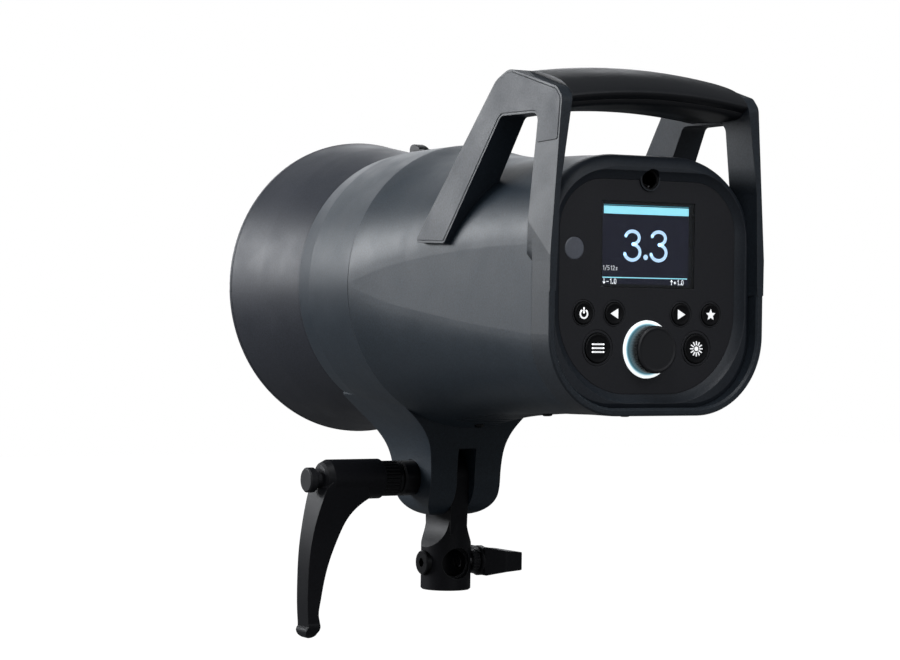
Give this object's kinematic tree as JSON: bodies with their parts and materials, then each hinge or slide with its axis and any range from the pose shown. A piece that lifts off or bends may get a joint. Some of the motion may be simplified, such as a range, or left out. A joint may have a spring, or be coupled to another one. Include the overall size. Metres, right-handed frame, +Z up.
{
  "type": "monolight strobe",
  "caption": "Mains studio flash head with dish reflector, carry handle, rear display and dial, on a tilting stand bracket with clamp lever.",
  "frame": {"origin": "centre of the stand socket's mouth, at the bottom face of the stand adapter", "axes": "+Z up along the stand socket, -Y is the way the flash fires, +X is the clamp lever's side"},
  "size_m": [0.1856, 0.3306, 0.3185],
  "materials": {
    "body_paint": "cast shell, fine speckled satin paint, dark slate",
    "reflector_paint": "spun sheet, satin dark grey outside, bright matt silver inside",
    "bracket_paint": "casting, fine speckled satin paint, dark slate",
    "inlay": "fine grained grey",
    "black_plastic": "matt black",
    "grip_plastic": "matt black, soft sheen",
    "panel_plastic": "fine matt black",
    "button_plastic": "matt black",
    "display_glass": "clear, polished",
    "display_black": "dark display",
    "lens_grey": "smoky translucent",
    "light_ring": "white light guide",
    "steel": "plain steel",
    "black_steel": "black oxide steel",
    "black_metal": "satin black casting",
    "aluminium": "plain",
    "base_white": "white enamel",
    "dome_glass": "frosted",
    "tube_glass": "clear",
    "lamp_yellow": "phosphor",
    "board_green": "circuit board",
    "can_sleeve": "shrink sleeve",
    "ferrite": "ferrite and tape"
  },
  "bodies": {
    "adapter": {"stand_adapter": "black_metal", "adapter_plug": "black_steel"},
    "head": {"bayonet_ring": "aluminium", "front_collar": "bracket_paint", "main_housing": "body_paint", "rear_frame": "body_paint", "handle_inlay_left": "inlay", "handle_inlay_right": "inlay", "grip_bar": "grip_plastic", "grip_underside": "grip_plastic", "rear_bezel": "black_plastic", "control_panel": "panel_plastic", "display_window": "display_glass", "display_unit": "display_black", "photocell_window": "lens_grey", "light_ring": "light_ring", "encoder_body": "black_plastic", "control_board": "board_green", "button_switches": "black_plastic", "umbrella_tube": "black_steel", "base_plate": "base_white", "base_plate_screws": "steel", "glass_dome": "dome_glass", "dome_clips": "steel", "flash_tube": "tube_glass", "modelling_lamp": "lamp_yellow", "chassis_tray": "aluminium", "capacitor_1": "can_sleeve", "capacitor_2": "can_sleeve", "capacitor_3": "can_sleeve", "power_board": "board_green", "transformer": "ferrite", "heat_sink": "aluminium", "fan_frame": "black_plastic", "socket_plate": "black_plastic", "mains_inlet": "black_plastic", "rocker_frame": "black_plastic", "signal_sockets": "steel", "lever_spacer": "black_steel"},
    "reflector": {"reflector": "reflector_paint"},
    "latch": {"reflector_latch": "black_plastic", "latch_pin": "steel"},
    "power_key": {"power_button": "button_plastic"},
    "left_key": {"left_button": "button_plastic"},
    "right_key": {"right_button": "button_plastic"},
    "star_key": {"star_button": "button_plastic"},
    "menu_key": {"menu_button": "button_plastic"},
    "test_key": {"test_button": "button_plastic"},
    "knob_plunger": {"encoder_plunger": "steel"},
    "knob": {"control_knob": "button_plastic"},
    "clamp": {"clamp_stud": "steel", "lever_sleeve": "black_steel"},
    "lever": {"clamp_lever": "black_metal"},
    "lever_release": {"lever_button": "black_plastic"},
    "screw_handle": {"clamp_screw_handle": "black_metal"},
    "screw_shank": {"clamp_screw_shank": "steel"},
    "rocker": {"power_rocker": "black_plastic"},
    "fuse_carrier": {"fuse_drawer": "black_plastic"},
    "fan": {"fan_rotor": "black_plastic"}
  },
  "joints": [
    {"name": "head_tilt", "type": "hinge", "parent": "adapter", "child": "head", "pos_m": [0, 0, 0.066], "axis": [1, 0, 0], "range_deg": [-80, 75]},
    {"name": "reflector_twist", "type": "hinge", "parent": "head", "child": "reflector", "pos_m": [0, -0.03, 0.1784], "axis": [0, 1, 0], "range_deg": [0, 30]},
    {"name": "latch_slide", "type": "slide", "parent": "head", "child": "latch", "axis": [0, 1, 0], "range_m": [0, 0.0036], "stiffness_N_per_m": 900},
    {"name": "lever_turn", "type": "hinge", "parent": "head", "child": "clamp", "pos_m": [0, 0, 0.066], "axis": [1, 0, 0], "continuous": true},
    {"name": "lever_lift", "type": "slide", "parent": "clamp", "child": "lever", "axis": [1, 0, 0], "range_m": [0, 0.0035], "stiffness_N_per_m": 1500},
    {"name": "lever_release_push", "type": "slide", "parent": "lever", "child": "lever_release", "axis": [-1, 0, 0], "range_m": [0, 0.002], "stiffness_N_per_m": 1500},
    {"name": "clamp_screw_turn", "type": "hinge", "parent": "adapter", "child": "screw_handle", "pos_m": [0, 0, 0.016], "axis": [1, 0, 0], "range_deg": [0, 1080]},
    {"name": "clamp_screw_feed", "type": "slide", "parent": "adapter", "child": "screw_shank", "axis": [1, 0, 0], "range_m": [0, 0.00375]},
    {"name": "knob_push", "type": "slide", "parent": "head", "child": "knob_plunger", "axis": [0, -1, 0], "range_m": [0, 0.0006], "stiffness_N_per_m": 4000},
    {"name": "knob_turn", "type": "hinge", "parent": "knob_plunger", "child": "knob", "pos_m": [0, 0.2, 0.1451], "axis": [0, 1, 0], "continuous": true},
    {"name": "rocker_tip", "type": "hinge", "parent": "head", "child": "rocker", "pos_m": [-0.067, 0.1735, 0.1854], "axis": [0, 0, 1], "range_deg": [0, 16]},
    {"name": "fuse_drawer_pull", "type": "slide", "parent": "head", "child": "fuse_carrier", "axis": [-1, 0, 0], "range_m": [0, 0.014]},
    {"name": "fan_spin", "type": "hinge", "parent": "head", "child": "fan", "pos_m": [0, 0.074, 0.1384], "axis": [0, 0, 1], "continuous": true},
    {"name": "power_press", "type": "slide", "parent": "head", "child": "power_key", "axis": [0, -1, 0], "range_m": [0, 0.0008], "stiffness_N_per_m": 1800},
    {"name": "left_press", "type": "slide", "parent": "head", "child": "left_key", "axis": [0, -1, 0], "range_m": [0, 0.0008], "stiffness_N_per_m": 1800},
    {"name": "right_press", "type": "slide", "parent": "head", "child": "right_key", "axis": [0, -1, 0], "range_m": [0, 0.0008], "stiffness_N_per_m": 1800},
    {"name": "star_press", "type": "slide", "parent": "head", "child": "star_key", "axis": [0, -1, 0], "range_m": [0, 0.0008], "stiffness_N_per_m": 1800},
    {"name": "menu_press", "type": "slide", "parent": "head", "child": "menu_key", "axis": [0, -1, 0], "range_m": [0, 0.0008], "stiffness_N_per_m": 1800},
    {"name": "test_press", "type": "slide", "parent": "head", "child": "test_key", "axis": [0, -1, 0], "range_m": [0, 0.0008], "stiffness_N_per_m": 1800}
  ],
  "couplings": [
    {"joint": "clamp_screw_feed", "follows": "clamp_screw_turn", "m_per_rad": 0.00019894}
  ]
}
